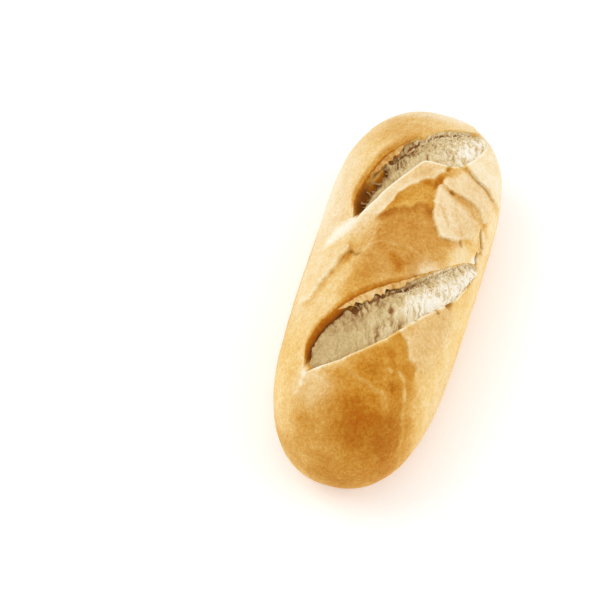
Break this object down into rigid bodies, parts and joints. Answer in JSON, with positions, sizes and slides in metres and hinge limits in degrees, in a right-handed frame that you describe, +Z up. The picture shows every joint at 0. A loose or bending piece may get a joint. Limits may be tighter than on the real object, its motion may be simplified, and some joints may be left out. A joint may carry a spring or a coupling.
{
  "type": "mini baguette",
  "caption": "Short crusty bread loaf with slanting slashes across its top, each opened into a lifted crust edge over torn crumb, and a flat base from the baking tray.",
  "frame": {"origin": "centre of the loaf's bounding box, on the surface it stands on", "axes": "+X along the loaf to its fuller far end, +Z up, the slashes run from the left side (+Y) near the -X end to the right side (-Y)"},
  "size_m": [0.15, 0.0601, 0.0499],
  "materials": {
    "crust": "matt baked bread crust, pale cream to golden brown",
    "crumb": "matt torn crumb, off-white, that shows in the opened slashes"
  },
  "bodies": {
    "root": {"mini_baguette": "crust"}
  },
  "joints": []
}
